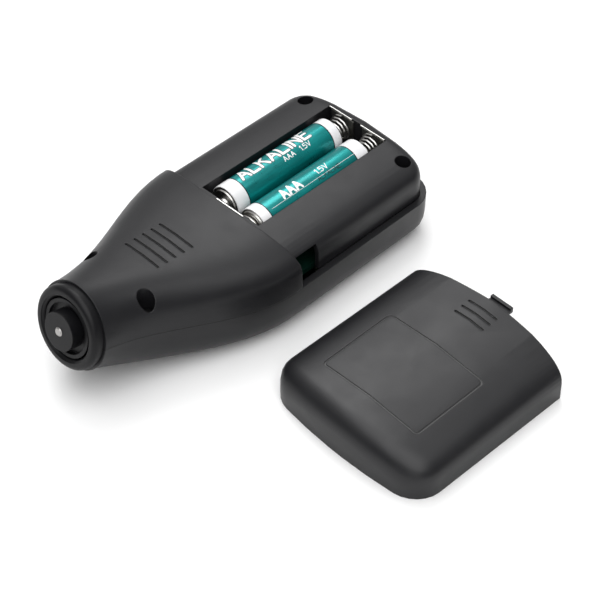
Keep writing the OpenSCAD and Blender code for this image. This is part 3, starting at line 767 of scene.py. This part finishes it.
for name, (low, high) in CONTACT_EDGES.items():
    contact_edge(name, low, high)


# Floor, light and camera

FLOOR_HALF = 3.0
FLOOR_DROP = 0.05 * MM
FLOOR_THROWN = 0.84
FLOOR_SHOWN = 0.95

# The surroundings grow from dim to bright between two cosines of the angle to the bright side
BRIGHT_SIDE = (0.44, 0.5, 0.746)
DIM_BELOW = 0.3
BRIGHT_ABOVE = 0.97
DIM_LEVEL = 0.195
BRIGHT_LEVEL = 0.62

OBJECT_MIDDLE = Vector((-0.01, -0.035, 0.015))
# Each light is its name, where it stands, its size in metres and its watts
LIGHTS = [
    ("key", (0.3, 0.42, 0.76), 0.5, 3.2),
    ("overhead", (-0.25, -0.2, 0.92), 1.2, 9.9),
    ("fill", (-0.6, -0.5, 0.35), 0.5, 0.7),
]

CAMERA_AT = Vector((-0.2706, -0.2851, 0.3783))
CAMERA_FORWARD = Vector((0.50005, 0.49622, -0.70972))
CAMERA_LENS = 113.94
CAMERA_SENSOR = 36.0


def floor():
    """A wide white floor that keeps the object's shadow and throws back less light than it shows."""
    material, tree, shader = new_material("floor_white")
    path = add(tree, "ShaderNodeLightPath")
    shown = add(tree, "ShaderNodeMix", data_type="RGBA")
    tree.links.new(path.outputs["Is Camera Ray"], shown.inputs["Factor"])
    shown.inputs["A"].default_value = grey(FLOOR_THROWN)
    shown.inputs["B"].default_value = grey(FLOOR_SHOWN)
    tree.links.new(shown.outputs["Result"], shader.inputs["Base Color"])
    shader.inputs["Roughness"].default_value = 0.9
    shader.inputs["Specular IOR Level"].default_value = 0.0
    mesh = bpy.data.meshes.new("floor")
    corners = [(x * FLOOR_HALF, y * FLOOR_HALF, 0) for x, y in ((-1, -1), (1, -1), (1, 1), (-1, 1))]
    mesh.from_pydata(corners, [], [(0, 1, 2, 3)])
    mesh.materials.append(material)
    obj = put("floor", mesh)
    obj.location.z = -FLOOR_DROP


def world():
    """Surroundings, bright behind and above the gauge and dim behind the camera, but white to see."""
    surroundings = bpy.data.worlds.new("studio")
    surroundings.use_nodes = True
    tree = surroundings.node_tree
    background = tree.nodes["Background"]
    background.inputs["Color"].default_value = grey(1.0)
    facing = add(tree, "ShaderNodeVectorMath", operation="DOT_PRODUCT")
    facing.inputs[1].default_value = BRIGHT_SIDE
    tree.links.new(add(tree, "ShaderNodeTexCoord").outputs["Generated"], facing.inputs[0])
    shade = add(tree, "ShaderNodeMapRange", interpolation_type="SMOOTHSTEP")
    shade.inputs["From Min"].default_value = DIM_BELOW
    shade.inputs["From Max"].default_value = BRIGHT_ABOVE
    shade.inputs["To Min"].default_value = DIM_LEVEL
    shade.inputs["To Max"].default_value = BRIGHT_LEVEL
    tree.links.new(facing.outputs["Value"], shade.inputs["Value"])
    path = add(tree, "ShaderNodeLightPath")
    level = add(tree, "ShaderNodeMix", data_type="FLOAT")
    tree.links.new(path.outputs["Is Camera Ray"], level.inputs["Factor"])
    tree.links.new(shade.outputs["Result"], level.inputs["A"])
    level.inputs["B"].default_value = 1.0
    tree.links.new(level.outputs["Result"], background.inputs["Strength"])
    bpy.context.scene.world = surroundings


def soft_light(name, stand, size, watts):
    """A square soft box aimed at the gauge."""
    lamp = bpy.data.lights.new(name, "AREA")
    lamp.shape = "SQUARE"
    lamp.size = size
    lamp.energy = watts
    obj = put(name, lamp)
    obj.location = stand
    obj.rotation_euler = (OBJECT_MIDDLE - Vector(stand)).to_track_quat("-Z", "Y").to_euler()


def camera():
    """The photograph's viewpoint."""
    data = bpy.data.cameras.new("camera")
    data.sensor_width = CAMERA_SENSOR
    data.lens = CAMERA_LENS
    obj = put("camera", data)
    obj.location = CAMERA_AT
    obj.rotation_euler = CAMERA_FORWARD.to_track_quat("-Z", "Y").to_euler()
    bpy.context.scene.camera = obj


floor()
world()
for light in LIGHTS:
    soft_light(*light)
camera()

bpy.context.scene.view_settings.view_transform = "Standard"
